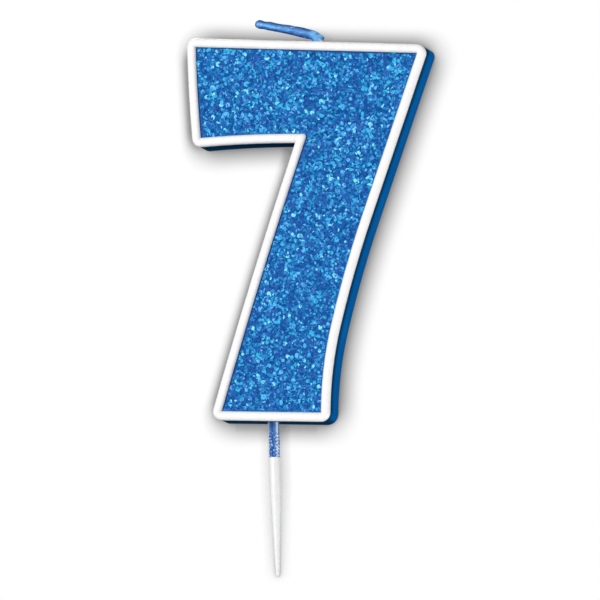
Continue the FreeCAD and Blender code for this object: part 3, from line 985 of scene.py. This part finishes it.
# the large card is this far behind the object, and the top of the pick's card behind the CAD's stub
CARD_GAP = 0.05 * MM
BACKDROP_ROOM = 30 * MM         # the large card reaches this far past the object on every side
PICK_CARD_HALF = 9 * MM         # half the width of the pick's card
PICK_CARD_ROOM = 4 * MM         # how far it reaches below the pick
PICK_CARD_FOOT_Y = 0.30 * MM    # its depth at its foot
PICK_CARD_TOP_GAP = 0.1 * MM    # its top edge lies this far below the stub's top
PICK_CARD_FADE = (0.3 * MM, 1.6 * MM)   # its shade starts and is full this far below its top edge
PICK_CARD_TIP_START = 0.3       # share of the pick above which its shade isn't deepened


def make_backdrop():
    """A clear card at the back of the numeral that only shows the object's soft contact shade."""
    look = StageLook("backdrop_look")
    around = look.halo(*HALO_ROUND)
    eased = look.remap(around, *HALO_LEFT_EASED, smooth=False)
    left = look.weakened(look.halo(*HALO_LEFT), eased)
    above = look.halo(*HALO_ABOVE)
    look.tint(look.math("MULTIPLY", look.math("MULTIPLY", around, left), above))
    low, high = (Vector(corner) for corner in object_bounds())
    y = high.y + CARD_GAP
    x0, x1 = low.x - BACKDROP_ROOM, high.x + BACKDROP_ROOM
    z0, z1 = low.z - BACKDROP_ROOM, high.z + BACKDROP_ROOM
    stage_plane("backdrop", [(x0, y, z0), (x1, y, z0), (x1, y, z1), (x0, y, z1)], look)


def make_pick_backdrop():
    """A clear card for the pick's shade. It slants from behind the stub's top into the pick's back."""
    look = StageLook("pick_backdrop_look")
    height = look.separate()["Z"]
    stub_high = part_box("wick_stub_wax")[1]
    top = stub_high[2] - PICK_CARD_TOP_GAP
    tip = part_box("pick")[0][2]
    clear_z, full_z = (top - distance for distance in PICK_CARD_FADE)
    below = look.remap(height, clear_z, full_z, smooth=False)
    towards_tip = look.remap(height, PICK_CARD_TIP_START * tip, tip, smooth=False)
    stronger = look.math("MULTIPLY_ADD", towards_tip, HALO_TIP_GAIN, 1.0)
    look.tint(look.weakened(look.halo(*HALO_PICK), look.math("MULTIPLY", below, stronger)))
    y_top, y_bottom = stub_high[1] + CARD_GAP, PICK_CARD_FOOT_Y
    bottom = tip - PICK_CARD_ROOM
    left, right = -PICK_CARD_HALF, PICK_CARD_HALF
    corners = [(left, y_bottom, bottom), (right, y_bottom, bottom), (right, y_top, top), (left, y_top, top)]
    stage_plane("pick_backdrop", corners, look)


FLOOR_COLOUR = (0.93, 0.93, 0.93)
FLOOR_FADE = (0.10, 0.45)       # the floor turns into the white surroundings between these distances
FLOOR_HALF = 6.0                # half its width


def make_floor():
    """A pale floor at the pick's tip, seen from above only."""
    look = StageLook("floor_look")
    pale = look.node("ShaderNodeBsdfDiffuse")
    look.feed(pale.inputs["Color"], FLOOR_COLOUR)
    clear = look.node("ShaderNodeBsdfTransparent")
    distance = look.node("ShaderNodeVectorMath", operation="LENGTH")
    look.link(look.place, distance.inputs[0])
    mixer = look.node("ShaderNodeMixShader")
    look.link(look.remap(distance.outputs["Value"], *FLOOR_FADE, smooth=False), mixer.inputs["Fac"])
    look.link(pale.outputs["BSDF"], mixer.inputs[1])
    look.link(clear.outputs["BSDF"], mixer.inputs[2])
    look.link(mixer.outputs["Shader"], look.front)
    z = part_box("pick")[0][2]
    half = FLOOR_HALF
    stage_plane("floor", [(-half, -half, z), (half, -half, z), (half, half, z), (-half, half, z)], look)


LIGHT_AIM = Vector((0.005, 0.0, 0.045))
# name, place from the aim, size, and the share of white that it adds to a white card facing it there
LIGHTS = (
    ("key", (-0.50, -0.80, 0.05), 0.36, 0.40),
    ("front", (0.05, -1.0, -0.15), 0.9, 0.16),
    ("right", (0.75, 0.25, -0.50), 0.26, 0.50),
    ("behind", (-0.50, 0.80, 0.60), 0.60, 0.45),
)


def softbox(name, offset, size, share):
    """A square light that faces the aim."""
    light = bpy.data.lights.new(name, "AREA")
    light.shape = "SQUARE"
    light.size = size
    place = LIGHT_AIM + Vector(offset)
    back = place - LIGHT_AIM
    light.energy = share * math.pi ** 2 * back.length ** 2
    lamp = bpy.data.objects.new(name, light)
    turn = back.to_track_quat("Z", "Y").to_matrix().to_4x4()
    lamp.matrix_world = Matrix.Translation(place) @ turn
    bpy.context.scene.collection.objects.link(lamp)


CAMERA_AIM = Vector((0.004968, -0.002212, 0.033943))
CAMERA_AZIMUTH = math.radians(11.0)     # from straight ahead towards +X
CAMERA_ELEVATION = math.radians(-5.25)  # the camera looks slightly up
CAMERA_ROLL = math.radians(1.75)
CAMERA_DISTANCE = 3.95
CAMERA_LENS = 1100.0                    # focal length and sensor, in millimetres
CAMERA_SENSOR = 36.0
CAMERA_SEES_TO = 30.0


def make_camera():
    data = bpy.data.cameras.new("camera")
    data.lens = CAMERA_LENS
    data.sensor_width = CAMERA_SENSOR
    data.clip_end = CAMERA_SEES_TO
    back = Vector((
        math.sin(CAMERA_AZIMUTH) * math.cos(CAMERA_ELEVATION),
        -math.cos(CAMERA_AZIMUTH) * math.cos(CAMERA_ELEVATION),
        math.sin(CAMERA_ELEVATION),
    ))
    level = Vector((0, 0, 1)).cross(back).normalized()
    upright = back.cross(level)
    right = level * math.cos(CAMERA_ROLL) + upright * math.sin(CAMERA_ROLL)
    up = back.cross(right)
    turn = Matrix((right, up, back)).transposed().to_4x4()
    camera = bpy.data.objects.new("camera", data)
    camera.matrix_world = Matrix.Translation(CAMERA_AIM + back * CAMERA_DISTANCE) @ turn
    bpy.context.scene.collection.objects.link(camera)
    bpy.context.scene.camera = camera


# ---- the scene -------------------------------------------------------------------------------

repaint("wax_body", wax_look())
repaint("glitter_bed", gel_look())
repaint("pick", pick_look())
cotton = cotton_look()
repaint("wick_core", cotton)
repaint("wick_tail_core", cotton)

inner_outline, bead_outside, bead_inside = make_bead()
make_gel_margin(bead_outside, bead_inside)
make_glitter(inner_outline)
make_wick_tail()
make_stub()

make_world()
make_backdrop()
make_pick_backdrop()
make_floor()
for light_settings in LIGHTS:
    softbox(*light_settings)
make_camera()
bpy.context.scene.view_settings.view_transform = "Standard"
